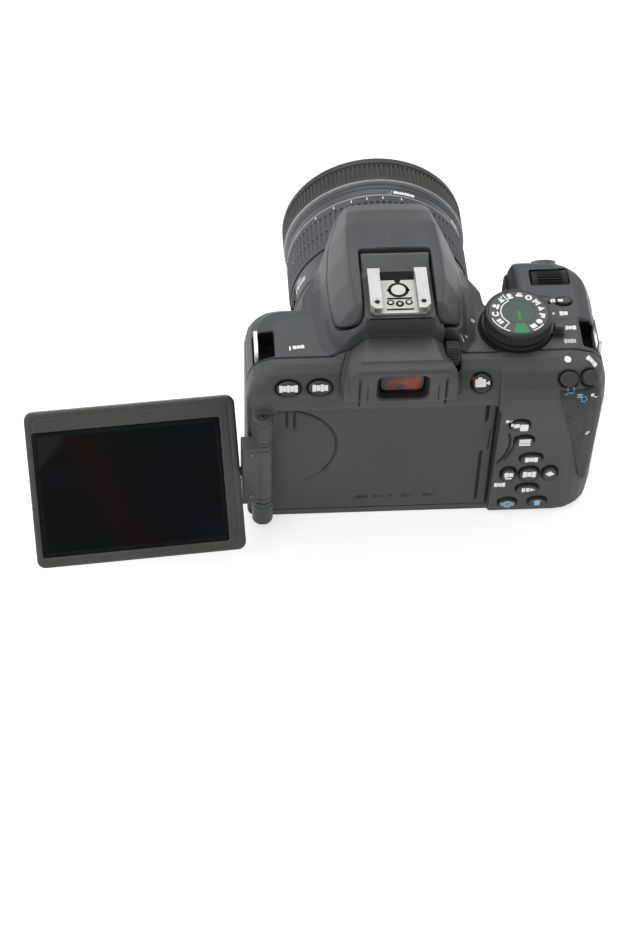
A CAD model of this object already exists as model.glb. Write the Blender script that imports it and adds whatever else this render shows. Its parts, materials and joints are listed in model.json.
"""Looks for a single-lens reflex camera: detail meshes, materials, stage, lights and camera.

The lens points along +Y, the back with its hinged screen faces -Y, and +Z is up.
Left (-X) and right (+X) are as seen from behind. Sizes are millimetres unless noted;
point() takes drawing millimetres to the row frame in metres.
"""
import bpy
import bmesh
import json
from math import sin, cos, pi, radians, sqrt
import numpy as np
from mathutils import Vector, Matrix
from mathutils.bvhtree import BVHTree


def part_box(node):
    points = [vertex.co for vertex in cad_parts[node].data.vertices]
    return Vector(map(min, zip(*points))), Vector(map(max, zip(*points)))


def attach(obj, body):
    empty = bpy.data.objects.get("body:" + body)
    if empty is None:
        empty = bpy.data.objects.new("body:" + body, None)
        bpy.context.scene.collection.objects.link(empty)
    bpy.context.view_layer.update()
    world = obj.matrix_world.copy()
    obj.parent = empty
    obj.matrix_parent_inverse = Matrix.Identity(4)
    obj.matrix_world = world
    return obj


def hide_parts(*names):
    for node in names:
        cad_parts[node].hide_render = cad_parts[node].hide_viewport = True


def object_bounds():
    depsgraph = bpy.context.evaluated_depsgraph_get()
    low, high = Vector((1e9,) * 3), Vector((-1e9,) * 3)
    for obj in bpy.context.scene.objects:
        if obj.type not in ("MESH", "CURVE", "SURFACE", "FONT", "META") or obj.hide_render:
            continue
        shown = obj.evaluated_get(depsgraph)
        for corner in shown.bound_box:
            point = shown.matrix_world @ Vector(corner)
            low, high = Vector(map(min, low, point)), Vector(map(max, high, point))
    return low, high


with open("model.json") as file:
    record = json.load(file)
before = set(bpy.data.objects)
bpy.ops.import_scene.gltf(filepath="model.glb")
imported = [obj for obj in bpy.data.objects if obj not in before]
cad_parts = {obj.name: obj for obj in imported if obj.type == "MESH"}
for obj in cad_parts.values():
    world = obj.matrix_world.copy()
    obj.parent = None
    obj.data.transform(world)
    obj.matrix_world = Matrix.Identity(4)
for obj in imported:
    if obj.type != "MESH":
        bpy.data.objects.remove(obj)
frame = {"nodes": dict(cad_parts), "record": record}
CAD_LO, CAD_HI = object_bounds()
NODES = frame["nodes"]
BODY = {n: body for body, names in frame["record"]["behaviour"]["bodies"].items() for n in names}

MM = 0.001
Y_OFFSET = 8.0          # drawing y of the row frame's origin
LENS_HEIGHT = 40.5      # z of the lens axis
LEFT, RIGHT = (-1, 0, 0), (1, 0, 0)
BACK, FORWARD = (0, -1, 0), (0, 1, 0)
DOWN, UP = (0, 0, -1), (0, 0, 1)

# The screen hangs on an upright hinge, swings round it and tilts back.
HINGE = Vector((-49.5, -4.0, 31.6))
SWING, TILT = radians(175.2), radians(42.0)
SCREEN_ALONG = Vector((cos(SWING), -sin(SWING), 0))
HINGE_OUT = Vector((sin(SWING), cos(SWING), 0))
SCREEN_OUT = cos(TILT) * HINGE_OUT + sin(TILT) * Vector(UP)
SCREEN_UP = cos(TILT) * Vector(UP) - sin(TILT) * HINGE_OUT


def point(x, y, z):
    """Drawing millimetres to the row frame in metres."""
    return Vector((x, y - Y_OFFSET, z)) * MM


def to_mm(place):
    """The row frame in metres to drawing millimetres."""
    return (place.x / MM, place.y / MM + Y_OFFSET, place.z / MM)


# ------------------------------------------------------------------ material tools
class Graph:
    """A material being built: its nodes end in one Principled shader."""

    def __init__(self, name):
        self.material = bpy.data.materials.new(name)
        self.material.use_nodes = True
        self.tree = self.material.node_tree
        self.tree.nodes.clear()
        output = self.tree.nodes.new("ShaderNodeOutputMaterial")
        self.shader = self.tree.nodes.new("ShaderNodeBsdfPrincipled")
        self.tree.links.new(self.shader.outputs[0], output.inputs["Surface"])
        self.place = self.node("TexCoord", "Object")

    def put(self, socket, value):
        if isinstance(value, bpy.types.NodeSocket):
            self.tree.links.new(value, socket)
        elif socket.type == "RGBA":
            socket.default_value = (*value[:3], 1.0)
        else:
            socket.default_value = value

    def feed(self, node, inputs):
        """Set inputs by name, with _ for a space, or by number as i0, i1, i2."""
        for name, value in inputs.items():
            key = int(name[1:]) if name[1:].isdigit() else name.replace("_", " ")
            self.put(node.inputs[key], value)

    def node(self, kind, out=0, props=None, **inputs):
        n = self.tree.nodes.new("ShaderNode" + kind)
        for name, value in (props or {}).items():
            setattr(n, name, value)
        self.feed(n, inputs)
        return n.outputs[out]

    def finish(self, **inputs):
        self.feed(self.shader, inputs)
        return self.material

    def noise(self, scale, detail=2.0, rough=0.5, distort=0.0, place=None):
        return self.node("TexNoise", Vector=place or self.place, Scale=scale, Detail=detail,
                         Roughness=rough, Distortion=distort)

    def math(self, operation, a, b, clamp=False):
        return self.node("Math", props={"operation": operation, "use_clamp": clamp},
                         i0=a, i1=b, i2=0.0)

    def add(self, a, b):
        return self.math("ADD", a, b)

    def times(self, a, b):
        return self.math("MULTIPLY", a, b)

    def dot(self, a, b):
        return self.node("VectorMath", 1, {"operation": "DOT_PRODUCT"}, i0=a, i1=b)

    def ramp(self, factor, stops):
        """Stops are (position, grey or colour)."""
        n = self.tree.nodes.new("ShaderNodeValToRGB")
        elements = n.color_ramp.elements
        while len(elements) < len(stops):
            elements.new(0.5)
        for element, (position, c) in zip(elements, stops):
            element.position = position
            element.color = (*c, 1.0) if isinstance(c, tuple) else (c, c, c, 1.0)
        self.tree.links.new(factor, n.inputs[0])
        return n.outputs[0]

    def rise(self, factor, low, high, start=0.0, end=1.0):
        """Go from start to end while the factor goes from low to high."""
        return self.ramp(factor, [(low, start), (high, end)])

    def span(self, value, low, high):
        """Map low..high to 0..1."""
        return self.node("MapRange", props={"clamp": True}, Value=value,
                         From_Min=low, From_Max=high)

    def mix(self, factor, a, b):
        n = self.tree.nodes.new("ShaderNodeMix")
        n.data_type = "RGBA"
        self.feed(n, {"Factor": factor, "i6": a, "i7": b})
        return n.outputs[2]

    def bump(self, height, distance):
        return self.node("Bump", Strength=1.0, Distance=distance, Height=height)

    def edge(self, radius):
        """1 along sharp edges, 0 on open faces."""
        rounded = self.node("Bevel", props={"samples": 4}, Radius=radius)
        normal = self.node("NewGeometry", 1)
        turned_away = self.math("SUBTRACT", 1.0, self.dot(rounded, normal))
        return self.span(turned_away, low=0.02, high=0.35)


def linear(rgb):
    """sRGB 0-255 to linear."""
    return tuple(c / 12.92 if c <= 0.04045 else ((c + 0.055) / 1.055) ** 2.4
                 for c in (v / 255 for v in rgb))


def shade(colour, factor, lift=0.0):
    return tuple(min(1, c * factor + lift) for c in colour)


def moulded(name, rgb, rough, grain=2600.0, depth=0.00004, spec=0.5, wear=0.10, vary=0.10):
    """Spark-eroded moulding: colour drift, dust in the grain and paler rubbed edges."""
    g = Graph(name)
    base = linear(rgb)
    fine = g.noise(grain, detail=3.0, rough=0.6)
    cells = g.node("TexVoronoi", props={"feature": "SMOOTH_F1"}, Vector=g.place,
                   Scale=grain * 0.55)
    drift = g.noise(38.0, detail=3.0, rough=0.55)
    relief = g.add(g.times(fine, 0.6), g.times(cells, 0.7))
    colour = g.mix(g.rise(drift, low=0.35, high=0.65),
                   shade(base, 1 - vary), shade(base, 1 + vary, lift=0.002))
    dust = g.times(g.rise(fine, low=0.4, high=0.72), 0.22)
    colour = g.mix(dust, colour, shade(base, 1.6, lift=0.006))
    patches = g.rise(g.noise(220.0, detail=3.0), low=0.32, high=0.62, start=0.25)
    rubbed = g.times(g.edge(radius=0.0005), patches)
    colour = g.mix(g.times(rubbed, wear * 4), colour, shade(base, 2.1, lift=0.02))
    roughness = g.add(rough, g.times(g.math("SUBTRACT", drift, 0.5), 0.16))
    roughness = g.math("SUBTRACT", roughness, g.times(rubbed, 0.16), clamp=True)
    return g.finish(Base_Color=colour, Roughness=roughness, Specular_IOR_Level=spec,
                    Normal=g.bump(relief, depth))


def satin(name, rgb, rough, spec=0.5):
    """Smooth satin moulding for keys and dials."""
    return moulded(name, rgb, rough, grain=5200.0, depth=0.000015, spec=spec,
                   wear=0.12, vary=0.08)


def leather(name, rgb, rough=0.72, scale=780.0, depth=0.00016):
    """Leather-grained rubber: cells with creases between them."""
    g = Graph(name)
    base = linear(rgb)
    wander = g.node("TexNoise", 1, Vector=g.place, Scale=300.0)
    shift = g.node("VectorMath", props={"operation": "SCALE"}, i0=wander, Scale=0.0009)
    warped = g.node("VectorMath", props={"operation": "ADD"}, i0=g.place, i1=shift)
    crease = g.node("TexVoronoi", props={"feature": "DISTANCE_TO_EDGE"}, Vector=warped,
                    Scale=scale)
    small = g.noise(3200.0)
    relief = g.add(g.ramp(crease, [(0.0, 0.0), (0.16, 0.8), (0.5, 1.0)]), g.times(small, 0.25))
    dust = g.times(g.rise(crease, low=0.0, high=0.10, start=1.0, end=0.0),
                   g.rise(g.noise(60.0), low=0.4, high=0.7, start=0.15, end=0.6))
    colour = g.mix(dust, base, shade(base, 1.7, lift=0.012))
    worn = g.times(g.edge(radius=0.0006), 0.35)
    colour = g.mix(worn, colour, shade(base, 1.9, lift=0.01))
    return g.finish(Base_Color=colour, Roughness=g.add(rough - 0.08, g.times(small, 0.16)),
                    Specular_IOR_Level=0.4, Normal=g.bump(relief, depth))


def rubber(name, rgb, rough):
    """Matt rubber with paler edges."""
    g = Graph(name)
    base = linear(rgb)
    grain = g.noise(1500.0, detail=4.0, rough=0.65)
    drift = g.noise(45.0, detail=3.0)
    colour = g.mix(g.rise(drift, low=0.3, high=0.7), shade(base, 0.85),
                   shade(base, 1.2, lift=0.002))
    worn = g.times(g.edge(radius=0.0004), 0.5)
    colour = g.mix(worn, colour, shade(base, 2.4, lift=0.012))
    return g.finish(Base_Color=colour, Roughness=g.add(rough - 0.1, g.times(grain, 0.18)),
                    Specular_IOR_Level=0.35, Normal=g.bump(grain, 0.00003))


def brushed(name, rgb, rough, along="x", metal=1.0):
    """Metal with fine streaks along one axis."""
    g = Graph(name)
    base = linear(rgb)
    stretch = [60 if axis == along else 5200 for axis in "xyz"]
    streak = g.noise(1.0, detail=3.0, rough=0.6,
                     place=g.node("Mapping", Vector=g.place, Scale=stretch))
    blot = g.noise(120.0, detail=3.0)
    coarse = g.node("Mapping", Vector=g.place, Scale=[s * 0.22 for s in stretch])
    scratch = g.rise(g.noise(1.0, detail=5.0, rough=0.75, place=coarse), low=0.62, high=0.7)
    colour = g.mix(g.rise(streak, low=0.3, high=0.7), shade(base, 0.80), shade(base, 1.12))
    stain = g.times(g.rise(blot, low=0.55, high=0.8), 0.35)
    colour = g.mix(stain, colour, shade(base, 0.55))
    roughness = g.add(rough, g.times(streak, 0.14))
    roughness = g.add(roughness, g.times(scratch, 0.12))
    return g.finish(Base_Color=colour, Roughness=roughness, Metallic=metal,
                    Normal=g.bump(streak, 0.000012))


def polished(name, rgb, rough):
    """Bright metal, faintly uneven."""
    g = Graph(name)
    base = linear(rgb)
    cloud = g.noise(420.0, detail=4.0, rough=0.6)
    colour = g.mix(g.rise(cloud, low=0.35, high=0.7), shade(base, 0.9), base)
    return g.finish(Base_Color=colour, Roughness=g.add(rough, g.times(cloud, 0.08)),
                    Metallic=1.0, Normal=g.bump(g.noise(2600.0), 0.000004))


def ink(name, rgb):
    """Printed paint with slightly uneven cover."""
    g = Graph(name)
    base = linear(rgb)
    cover = g.noise(2600.0, detail=3.0, rough=0.7)
    colour = g.mix(g.rise(cover, low=0.35, high=0.6), shade(base, 0.80), base)
    return g.finish(Base_Color=colour, Roughness=g.add(0.5, g.times(cover, 0.2)),
                    Normal=g.bump(cover, 0.00001))


def lens_glass(name, tint, coat):
    """Coated glass whose reflection is tinted by the coating; colours are linear."""
    g = Graph(name)
    facing = g.node("LayerWeight", 1, Blend=0.35)
    cloud = g.noise(16.0)
    colour = g.mix(facing, tint, coat)
    colour = g.mix(g.times(cloud, 0.25), colour, shade(tint, 0.4))
    dust = g.rise(g.noise(1900.0), low=0.72, high=0.8)
    return g.finish(Base_Color=colour, Roughness=g.add(0.02, g.times(dust, 0.2)),
                    Specular_IOR_Level=0.9, Coat_Weight=1.0, Coat_Roughness=0.02,
                    Coat_Tint=coat)


def finder_material():
    """The finder's eye lens: warm red and orange in the middle, black round it."""
    g = Graph("finder_glass")
    axes = g.node("SeparateXYZ", i0=g.place).node.outputs
    side = g.span(axes[0], low=-0.0085, high=0.0085)
    height = g.span(axes[2], low=0.0735, high=0.0838)
    wave = g.noise(300.0, detail=3.0, rough=0.6, distort=0.6)
    warm = g.ramp(side, [
        (0.0, (0.02, 0.003, 0.002)), (0.12, (0.045, 0.006, 0.004)),
        (0.35, (0.085, 0.010, 0.005)), (0.7, (0.17, 0.022, 0.007)),
        (0.9, (0.13, 0.016, 0.006)), (1.0, (0.02, 0.003, 0.003))])
    orange = g.times(g.rise(wave, low=0.45, high=0.7), 0.55)
    warm = g.mix(orange, warm, (0.26, 0.065, 0.022))
    blots = g.rise(g.noise(180.0), low=0.30, high=0.46, start=1.0, end=0.0)
    warm = g.mix(g.times(blots, 0.85), warm, (0.008, 0.006, 0.005))
    fade = g.times(
        g.ramp(height, [(0.0, 0.0), (0.12, 0.04), (0.30, 0.85), (0.6, 1.0), (0.86, 0.8),
                        (1.0, 0.05)]),
        g.ramp(side, [(0.0, 0.0), (0.08, 0.05), (0.16, 1.0), (0.84, 1.0), (0.92, 0.05),
                      (1.0, 0.0)]))
    colour = g.mix(fade, (0.004, 0.005, 0.005), warm)
    return g.finish(Base_Color=colour, Roughness=g.add(0.05, g.times(wave, 0.06)),
                    Specular_IOR_Level=0.25, Emission_Color=colour, Emission_Strength=0.12,
                    Coat_Weight=0.08, Coat_Roughness=0.04)


def display_material():
    """Unlit display: near black, drifts of blue and green and one dark red streak."""
    g = Graph("display_glass")
    across = g.dot(g.place, (cos(SWING), -sin(SWING), 0.0))
    height = g.node("SeparateXYZ", 2, i0=g.place)
    swirl = g.noise(16.0, distort=0.8)
    tone = g.ramp(swirl, [
        (0.28, (0.0040, 0.0066, 0.0118)), (0.42, (0.0024, 0.0040, 0.0052)),
        (0.52, (0.0026, 0.0048, 0.0034)), (0.64, (0.0042, 0.0058, 0.0090)),
        (0.8, (0.0030, 0.0042, 0.0040))])
    # The streak leans across the window, slightly bent and wavering.
    lean = g.add(g.times(across, 1.0), g.times(height, -0.347))
    bend = g.times(g.math("POWER", g.math("SUBTRACT", height, 0.058), 2.0), 5.0)
    lean = g.add(g.add(lean, bend), g.times(g.noise(14.0), 0.009))
    streak = g.ramp(g.span(lean, low=0.0943, high=0.1163),
                    [(0.0, 0.0), (0.35, 0.9), (0.6, 1.0), (1.0, 0.0)])
    tone = g.mix(g.times(streak, 0.7), tone, (0.0105, 0.0032, 0.0028))
    smear = g.rise(g.noise(70.0, detail=4.0, rough=0.6), low=0.45, high=0.75)
    return g.finish(Base_Color=tone, Roughness=g.add(0.035, g.times(smear, 0.10)),
                    Specular_IOR_Level=0.06)


# ------------------------------------------------------------------ the materials
# Grain is cells per metre, depth is the relief in metres, colours are sRGB.
COARSE = dict(grain=1900.0, depth=0.00005)
MEDIUM = dict(grain=2600.0, depth=0.00003)
FINE = dict(grain=3200.0, depth=0.00003)
FINEST = dict(grain=3800.0, depth=0.00002)

MATERIALS = {
    "body": moulded("body_shell", (59, 62, 61), rough=0.50, spec=0.3, **COARSE),
    "body_top": moulded("body_top_shell", (58, 62, 64), rough=0.46, spec=0.32, **COARSE),
    "finder_shell": moulded("finder_shell", (60, 61, 60), rough=0.42, spec=0.32, **FINE),
    "shoe_base": moulded("shoe_base", (60, 61, 61), rough=0.5, spec=0.28, **FINE),
    "shoe_ramp": moulded("shoe_ramp", (78, 79, 79), rough=0.5, spec=0.28, **FINE),
    "recess": moulded("recess_floor", (57, 60, 60), rough=0.52, grain=3000.0, depth=0.00003,
                      spec=0.28),
    "grip": leather("grip_skin", (62, 65, 62)),
    "thumb": leather("thumb_skin", (43, 47, 44), rough=0.66, scale=620.0, depth=0.00012),
    "cup": rubber("eyecup_rubber", (60, 62, 61), rough=0.6),
    "ring": rubber("ring_rubber", (72, 75, 79), rough=0.66),
    "ring_front": rubber("ring_front_rubber", (50, 49, 47), rough=0.6),
    "lens": moulded("lens_shell", (66, 68, 72), rough=0.40, spec=0.35, **MEDIUM),
    "lens_smooth": satin("lens_inner", (34, 34, 36), rough=0.36, spec=0.35),
    "dial": satin("dial_shell", (40, 41, 42), rough=0.4, spec=0.35),
    "dial_top": moulded("dial_top", (66, 70, 68), rough=0.42, spec=0.3, **FINEST),
    "dial_green": moulded("dial_centre", (52, 74, 66), rough=0.42, spec=0.3, **FINEST),
    "key": satin("key_cap", (52, 55, 53), rough=0.36, spec=0.3),
    "dark": satin("dark_recess", (12, 12, 13), rough=0.7, spec=0.15),
    "dark_metal": brushed("dark_screw", (42, 42, 42), rough=0.4, metal=0.6),
    "dark_soft": satin("dark_line", (27, 28, 28), rough=0.7, spec=0.15),
    "recess_ink": satin("recess_ink", (44, 45, 43), rough=0.6, spec=0.2),
    "ring_edge": satin("ring_edge", (150, 152, 154), rough=0.35),
    "pale_edge": satin("pale_edge", (84, 86, 82), rough=0.5, spec=0.3),
    "accent": satin("accent_ring", (128, 131, 134), rough=0.35),
    "shoe": brushed("shoe_steel", (172, 171, 168), rough=0.34, along="y", metal=0.55),
    "shoe_plate": brushed("shoe_plate", (172, 171, 168), rough=0.4, along="y", metal=0.45),
    "steel": brushed("lug_steel", (226, 226, 222), rough=0.28, along="z", metal=0.7),
    "screw": brushed("screw_steel", (120, 120, 120), rough=0.3),
    "chrome": polished("mount_chrome", (222, 222, 220), rough=0.12),
    "gold": polished("contact_gold", (214, 182, 110), rough=0.2),
    "silver_key": brushed("shutter_metal", (96, 97, 99), rough=0.3, metal=0.8),
    "white": ink("ink_white", (228, 230, 230)),
    "wheel_dark": satin("wheel_dark", (22, 23, 24), rough=0.5, spec=0.2),
    "soft_white": ink("ink_pale", (186, 188, 186)),
    "blue": ink("ink_blue", (84, 132, 176)),
    "pale_blue": ink("ink_pale_blue", (150, 178, 200)),
    "green": ink("ink_green", (40, 124, 80)),
    "red": ink("ink_red", (150, 50, 48)),
    "inner": rubber("inner_black", (16, 17, 17), rough=0.85),
    "mask": satin("window_mask", (6, 7, 8), rough=0.25, spec=0.12),
    "mirror": polished("mirror_silver", (225, 228, 232), rough=0.03),
    "board": moulded("board_green", (28, 78, 52), rough=0.4, grain=700.0),
    "sensor": lens_glass("sensor_glass", tint=(0.02, 0.05, 0.07), coat=(0.10, 0.28, 0.30)),
    "glass": lens_glass("front_glass", tint=(0.010, 0.012, 0.018), coat=(0.22, 0.10, 0.34)),
    "flash_lens": lens_glass("flash_lens", tint=(0.5, 0.5, 0.47), coat=(0.6, 0.6, 0.6)),
    "amber": lens_glass("lamp_glass", tint=(0.35, 0.16, 0.05), coat=(0.5, 0.3, 0.1)),
    "red_glass": lens_glass("remote_glass", tint=(0.05, 0.004, 0.004),
                            coat=(0.2, 0.03, 0.03)),
    "card": moulded("card_blue", (36, 60, 120), rough=0.4, depth=0.00002),
    "battery": moulded("battery_case", (60, 60, 63), rough=0.5, depth=0.00002),
    "screen": moulded("screen_shell", (62, 63, 60), rough=0.44, spec=0.3, **MEDIUM),
    "finder_glass": finder_material(),
    "display": display_material(),
}

# Material: the CAD pieces that take it. All other pieces take the key caps' material.
PIECES_OF = {
    "body": "bottom_cover rear_cover front_cover card_door battery_door",
    "body_top": "top_cover flash_unit",
    "cup": "terminal_cover eyecup",
    "grip": "grip_rubber",
    "thumb": "thumb_rubber",
    "shoe": "hot_shoe",
    "steel": "strap_lug_left strap_lug_right",
    "chrome": "lens_mount_ring",
    "screw": "tripod_socket",
    "inner": "mirror_box shutter_unit",
    "mirror": "reflex_mirror pentamirror",
    "flash_lens": "focusing_screen flash_window",
    "finder_glass": "eyepiece_lens",
    "glass": "front_glass",
    "sensor": "image_sensor",
    "board": "circuit_board",
    "battery": "battery",
    "card": "memory_card",
    "dial": "mode_dial power_lever main_dial dioptre_knob",
    "silver_key": "shutter_button",
    "lens": "lens_barrel",
    "lens_smooth": "front_barrel",
    "ring": "zoom_ring",
    "ring_front": "",
    "screen": "lcd_frame lcd_hinge_block",
    "display": "lcd_glass",
}
PIECES_OF["ring"] += " focus_ring"
MATERIAL_OF = {n: material for material, names in PIECES_OF.items() for n in names.split()}


def give(ob, material):
    ob.data.materials.clear()
    ob.data.materials.append(MATERIALS[material])


for node_name, node_object in NODES.items():
    give(node_object, MATERIAL_OF.get(node_name, "key"))


# ------------------------------------------------------------------ mesh tools
def smooth(ob, angle):
    for face in ob.data.polygons:
        face.use_smooth = True
    ob.data.set_sharp_from_angle(angle=radians(angle))


def add_bevel(ob, width, angle):
    """Width in metres."""
    bevel = ob.modifiers.new("Edge", "BEVEL")
    bevel.width = width
    bevel.segments = 2
    bevel.limit_method = "ANGLE"
    bevel.angle_limit = radians(angle)


def soft_copy(node, voxel, rounds):
    """A finely remeshed copy of a CAD node, with moulded, slightly round edges."""
    mesh = NODES[node].data.copy()
    ob = bpy.data.objects.new(node + "_skin", mesh)
    bpy.context.scene.collection.objects.link(ob)
    give(ob, MATERIAL_OF[node])
    bm = bmesh.new()
    bm.from_mesh(mesh)
    bmesh.ops.remove_doubles(bm, verts=bm.verts[:], dist=1e-6)
    bm.to_mesh(mesh)
    bm.free()
    remesh = ob.modifiers.new("Remesh", "REMESH")
    remesh.mode = "VOXEL"
    remesh.voxel_size = voxel * MM
    remesh.use_smooth_shade = True
    relax = ob.modifiers.new("Smooth", "SMOOTH")
    relax.factor = 0.5
    relax.iterations = rounds
    depsgraph = bpy.context.evaluated_depsgraph_get()
    fine = bpy.data.meshes.new_from_object(ob.evaluated_get(depsgraph))
    ob.modifiers.clear()
    ob.data = fine
    for face in fine.polygons:
        face.use_smooth = True
    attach(ob, BODY[node])
    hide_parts(node)
    return ob


def basis(at, normal, up=UP, spin=0.0):
    """Frame at a point: x to the right seen from outside, y up, z out of the face."""
    z = Vector(normal).normalized()
    x = Vector(up).cross(z)
    if x.length < 1e-6:
        x = Vector(RIGHT)
    x.normalize()
    y = z.cross(x)
    axes = Matrix((x, y, z)).transposed().to_4x4()
    return Matrix.Translation(point(*at)) @ axes @ Matrix.Rotation(spin, 4, "Z")


def piece(name, bm, material, node, angle=35, replaces=False, bevel=0.0, weld=True):
    """Turn a bmesh into an object that moves with a CAD node's body and takes its slot."""
    if weld:
        bmesh.ops.remove_doubles(bm, verts=bm.verts[:], dist=1e-7)
    bmesh.ops.recalc_face_normals(bm, faces=bm.faces[:])
    mesh = bpy.data.meshes.new(name)
    bm.to_mesh(mesh)
    bm.free()
    ob = bpy.data.objects.new(name, mesh)
    bpy.context.scene.collection.objects.link(ob)
    give(ob, material)
    smooth(ob, angle)
    if bevel:
        add_bevel(ob, bevel * MM, 35)
    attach(ob, BODY[node])
    if replaces:
        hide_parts(node)
    return ob


def loft(rows, closed=False, caps=False, flip_last=False):
    """Join rows of points, in metres, into a skin; a row of one point is a tip."""
    bm = bmesh.new()
    rows = [[bm.verts.new(p) for p in row] for row in rows]
    for a, b in list(zip(rows, rows[1:])) + ([(rows[-1], rows[0])] if closed else []):
        n = max(len(a), len(b))
        if n == 1:
            continue
        for k in range(n):
            j = (k + 1) % n
            if len(a) == 1:
                bm.faces.new((a[0], b[j], b[k]))
            elif len(b) == 1:
                bm.faces.new((a[k], a[j], b[0]))
            else:
                bm.faces.new((a[k], a[j], b[j], b[k]))
    if caps:
        bm.faces.new(rows[0])
        bm.faces.new(rows[-1][::-1] if flip_last else rows[-1])
    return bm


RIB_WAVE = (0, 0, 0, 0.5, 1, 1, 1, 0.5)     # share of the rib depth cut, across one rib


def revolve(profile, axis, n=96, ribs=0, closed=True):
    """Turn a profile of (radius, height[, rib depth]) round the z axis of a frame."""
    if ribs:
        n = ribs * len(RIB_WAVE)
    rows = []
    for radius, height, *rib in profile:
        if radius <= 1e-9:
            rows.append([axis @ Vector((0, 0, height * MM))])
            continue
        row = []
        for k in range(n):
            t = 2 * pi * k / n
            reach = radius - (rib[0] * RIB_WAVE[k % len(RIB_WAVE)] if rib else 0.0)
            row.append(axis @ (Vector((reach * cos(t), reach * sin(t), height)) * MM))
        rows.append(row)
    return loft(rows, closed)


# Flat outlines: each function gives a list of polygons of (u, v).
def rounded_box(u0, u1, v0, v1, radius, segments):
    """The points of one rounded rectangle."""
    corners = ((u1 - radius, v1 - radius), (u0 + radius, v1 - radius),
               (u0 + radius, v0 + radius), (u1 - radius, v0 + radius))
    points = []
    for quarter, (cu, cv) in enumerate(corners):
        for k in range(segments + 1):
            t = quarter * 0.5 * pi + 0.5 * pi * k / segments
            points.append((cu + radius * cos(t), cv + radius * sin(t)))
    return points


def bar(cu, cv, width, height, radius=0.12, angle=0.0, step=1.2):
    radius = min(radius, width / 2 - 1e-4, height / 2 - 1e-4)
    corners = rounded_box(-width / 2, width / 2, -height / 2, height / 2, radius, 3)
    out = []
    for p, q in zip(corners, corners[1:] + corners[:1]):
        length = sqrt((q[0] - p[0]) ** 2 + (q[1] - p[1]) ** 2)
        m = max(1, int(length / step))
        out += [(p[0] + (q[0] - p[0]) * i / m, p[1] + (q[1] - p[1]) * i / m)
                for i in range(m)]
    c, s = cos(angle), sin(angle)
    return [[(cu + u * c - v * s, cv + u * s + v * c) for u, v in out]]


def arc(r0, r1, start, end, n=0):
    """A band between two radii round the origin, angles in degrees."""
    n = n or max(3, int(abs(end - start) / 9))
    turns = [radians(start + (end - start) * k / n) for k in range(n + 1)]
    return [[(r * cos(t), r * sin(t)) for r, t in ((r0, a), (r1, a), (r1, b), (r0, b))]
            for a, b in zip(turns, turns[1:])]


def dot(cu, cv, radius, n=20):
    return [[(cu + radius * cos(2 * pi * k / n), cv + radius * sin(2 * pi * k / n))
             for k in range(n)]]


def tri(cu, cv, size, angle=0.0):
    return [around(cu, cv, size, [angle + t for t in (0, 130, 230)])]


def blocks(cu, cv, width, height, n, gap=0.28, angle=0.0):
    """A row of small blocks that stands for a printed word."""
    out = []
    block = (width - gap * (n - 1)) / n
    for k in range(n):
        u = -width / 2 + block / 2 + k * (block + gap)
        tall = height * (1.0, 0.84)[k % 2]
        out += bar(cu + u * cos(angle), cv + u * sin(angle), block, tall, 0.15, angle)
    return out


def turn(shapes, degrees, du=0.0, dv=0.0):
    c, s = cos(radians(degrees)), sin(radians(degrees))
    return [[(du + u * c - v * s, dv + u * s + v * c) for u, v in poly] for poly in shapes]


def around(cu, cv, radius, degrees):
    """Points on a circle at the given angles."""
    return [(cu + radius * cos(radians(t)), cv + radius * sin(radians(t))) for t in degrees]


def surface_of(*objects):
    bm = bmesh.new()
    for ob in objects:
        bm.from_mesh(ob.data)
    tree = BVHTree.FromBMesh(bm)
    bm.free()
    return tree


def dropped(place, direction, surface, back, reach):
    """Where a ray from behind a place meets the surface, or the place itself."""
    hit = surface.ray_cast(place - direction * back, direction, reach)[0] if surface else None
    return place if hit is None else hit


def decal(name, at, shapes, material, node, lift=0.05, deep=0.2, surface=None):
    """Thin shapes laid on a surface; each outline point drops onto the surface under it."""
    bm = bmesh.new()
    out = (at.to_3x3() @ Vector(UP)).normalized()
    for poly in shapes:
        top, low = [], []
        for u, v in poly:
            p = dropped(at @ Vector((u * MM, v * MM, 0)), -out, surface, 0.007, 0.016)
            top.append(bm.verts.new(p + out * lift * MM))
            low.append(bm.verts.new(p - out * deep * MM))
        m = len(poly)
        bm.faces.new(top)
        bm.faces.new(low[::-1])
        for k in range(m):
            bm.faces.new((top[k], low[k], low[(k + 1) % m], top[(k + 1) % m]))
    many_sided = [f for f in bm.faces if len(f.verts) > 4]
    bmesh.ops.triangulate(bm, faces=many_sided, ngon_method="EAR_CLIP")
    return piece(name, bm, material, node, 20, weld=False)


def carve(skin, paths, width, depth):
    """Sink the surface of a skin along paths, with sides that ease in over half the way."""
    mesh = SKINS[skin].data
    n = len(mesh.vertices)
    co = np.empty(n * 3, np.float32)
    mesh.vertices.foreach_get("co", co)
    co = co.reshape(-1, 3).astype(float)
    normals = np.empty(n * 3, np.float32)
    mesh.vertex_normals.foreach_get("vector", normals)
    normals = normals.reshape(-1, 3)
    nearest = np.full(n, 1e9)
    for path in paths:
        points = np.array([point(*p) for p in path])
        lo, hi = points.min(0) - width * MM, points.max(0) + width * MM
        near = np.where(((co >= lo) & (co <= hi)).all(1))[0]
        if not len(near):
            continue
        c = co[near]
        distance = np.full(len(near), 1e9)
        for a, b in zip(points, points[1:]):
            ab = b - a
            t = np.clip(((c - a) @ ab) / max(1e-18, ab @ ab), 0, 1)
            distance = np.minimum(distance, np.linalg.norm(c - (a + t[:, None] * ab), axis=1))
        nearest[near] = np.minimum(nearest[near], distance)
    half = width / 2 * MM
    fall = np.clip((half - nearest) / (half * 0.5), 0, 1)
    fall = fall * fall * (3 - 2 * fall)
    co -= normals * (fall * depth * MM)[:, None]
    mesh.vertices.foreach_set("co", co.astype(np.float32).ravel())
    mesh.update()


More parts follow.
